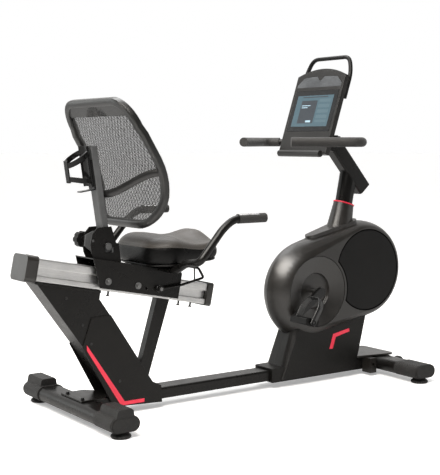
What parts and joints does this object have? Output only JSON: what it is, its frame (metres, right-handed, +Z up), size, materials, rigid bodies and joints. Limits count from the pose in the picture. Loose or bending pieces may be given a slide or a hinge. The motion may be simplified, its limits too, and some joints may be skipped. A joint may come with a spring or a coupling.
{
  "type": "recumbent exercise bike",
  "caption": "Recumbent exercise bike: reclined mesh-back seat sliding on a sloping rail, pedals in a round drive housing, and a mast with a screen console and curved handlebar.",
  "frame": {"origin": "on the floor under the middle of the object's box", "axes": "+X forward, from the backrest towards the drive housing; +Y to the rider's left; +Z up"},
  "size_m": [1.7122, 0.66, 1.2822],
  "materials": {
    "black_paint": "satin powder coat with a faint orange-peel",
    "grey_paint": "dark grey powder coat",
    "crank_paint": "gloss dark grey paint on forged steel",
    "satin_plastic": "fine moulded grain, satin sheen",
    "dark_plastic": "fine moulded grain, matte",
    "gloss_black": "glossy",
    "rail_aluminium": "extruded and anodised, fine lines along its length",
    "zinc_steel": "zinc plated",
    "red_trim": "satin red",
    "rubber": "matte",
    "foam": "closed-cell foam, soft sheen",
    "pulse_steel": "brushed contact plates",
    "screen": "lit colour display behind a clear cover, plain blocks",
    "console_grey": "brushed grey film",
    "seat_vinyl": "dark upholstery vinyl, soft sheen",
    "mesh_fabric": "open knitted mesh"
  },
  "bodies": {
    "root": {"base_tube": "black_paint", "rear_stabilizer": "black_paint", "front_stabilizer": "black_paint", "rear_end_caps": "satin_plastic", "front_end_caps": "satin_plastic", "frame_bolts": "zinc_steel", "rear_leg": "black_paint", "leg_cover_right": "satin_plastic", "leg_cover_left": "satin_plastic", "front_strut": "black_paint", "seat_rail": "rail_aluminium", "rail_end_caps": "satin_plastic", "lower_shroud_right": "satin_plastic", "lower_shroud_left": "satin_plastic", "trim_stripes": "red_trim", "drive_housing_right": "satin_plastic", "drive_housing_left": "satin_plastic", "flywheel_covers": "dark_plastic", "inner_frame": "black_paint", "drive_belt": "rubber", "front_top_cover": "satin_plastic", "power_inlet": "satin_plastic", "mast_collar": "satin_plastic", "mast_sleeve": "satin_plastic", "mast_tube": "black_paint", "console_arm": "black_paint", "handlebar": "black_paint", "handlebar_grips": "foam", "console_housing": "satin_plastic", "console_screen": "screen", "console_trim": "console_grey", "console_handle": "dark_plastic"},
    "crank": {"crank_axle": "zinc_steel", "drive_pulley": "satin_plastic", "crank_discs": "satin_plastic", "crank_arms": "crank_paint"},
    "right_pedal": {"pedal_right": "dark_plastic", "pedal_strap_right": "rubber"},
    "left_pedal": {"pedal_left": "dark_plastic", "pedal_strap_left": "rubber"},
    "flywheel": {"flywheel": "zinc_steel"},
    "seat": {"seat_carriage": "black_paint", "carriage_bolts": "zinc_steel", "seat_pan": "black_paint", "seat_pad": "seat_vinyl", "seat_handlebar": "black_paint", "seat_grips": "foam", "pulse_plates": "pulse_steel"},
    "backrest": {"backrest_post": "grey_paint", "backrest_frame": "satin_plastic", "backrest_mesh": "mesh_fabric", "bottle_cage": "gloss_black"},
    "knob": {"recline_knob": "dark_plastic"},
    "bail": {"release_bail": "black_paint"},
    "rear_right_foot": {"foot_rear_right": "rubber"},
    "rear_left_foot": {"foot_rear_left": "rubber"},
    "front_right_foot": {"foot_front_right": "rubber"},
    "front_left_foot": {"foot_front_left": "rubber"},
    "right_wheel": {"transport_wheel_right": "rubber"},
    "left_wheel": {"transport_wheel_left": "rubber"}
  },
  "joints": [
    {"name": "crank_spin", "type": "hinge", "parent": "root", "child": "crank", "pos_m": [0.38, 0, 0.363], "axis": [0, 1, 0], "continuous": true},
    {"name": "right_pedal_spin", "type": "hinge", "parent": "crank", "child": "right_pedal", "pos_m": [0.24487, -0.152, 0.27185], "axis": [0, 1, 0], "continuous": true},
    {"name": "left_pedal_spin", "type": "hinge", "parent": "crank", "child": "left_pedal", "pos_m": [0.51513, 0.152, 0.45415], "axis": [0, 1, 0], "continuous": true},
    {"name": "flywheel_spin", "type": "hinge", "parent": "root", "child": "flywheel", "pos_m": [0.641, 0, 0.431], "axis": [0, 1, 0], "continuous": true},
    {"name": "seat_slide", "type": "slide", "parent": "root", "child": "seat", "axis": [0.9806, 0, -0.1959], "range_m": [-0.13, 0.05]},
    {"name": "backrest_recline", "type": "hinge", "parent": "seat", "child": "backrest", "pos_m": [-0.532, 0, 0.59], "axis": [0, -1, 0], "range_deg": [0, 16]},
    {"name": "knob_turn", "type": "hinge", "parent": "seat", "child": "knob", "pos_m": [-0.588, 0.05, 0.611], "axis": [0, 1, 0], "range_deg": [0, 360]},
    {"name": "bail_lift", "type": "hinge", "parent": "seat", "child": "bail", "pos_m": [-0.34919, 0, 0.43278], "axis": [0, -1, 0], "range_deg": [0, 7], "stiffness_Nm_per_rad": 4, "springref_deg": -2.86},
    {"name": "rear_right_foot_turn", "type": "hinge", "parent": "root", "child": "rear_right_foot", "pos_m": [-0.638, -0.294, 0.02], "axis": [0, 0, 1], "continuous": true},
    {"name": "rear_left_foot_turn", "type": "hinge", "parent": "root", "child": "rear_left_foot", "pos_m": [-0.638, 0.294, 0.02], "axis": [0, 0, 1], "continuous": true},
    {"name": "front_right_foot_turn", "type": "hinge", "parent": "root", "child": "front_right_foot", "pos_m": [0.718, -0.294, 0.02], "axis": [0, 0, 1], "continuous": true},
    {"name": "front_left_foot_turn", "type": "hinge", "parent": "root", "child": "front_left_foot", "pos_m": [0.718, 0.294, 0.02], "axis": [0, 0, 1], "continuous": true},
    {"name": "right_wheel_spin", "type": "hinge", "parent": "root", "child": "right_wheel", "pos_m": [0.831, -0.062, 0.029], "axis": [0, 1, 0], "continuous": true},
    {"name": "left_wheel_spin", "type": "hinge", "parent": "root", "child": "left_wheel", "pos_m": [0.831, 0.062, 0.029], "axis": [0, 1, 0], "continuous": true}
  ],
  "couplings": [
    {"joint": "flywheel_spin", "follows": "crank_spin", "ratio": 3.2353}
  ]
}
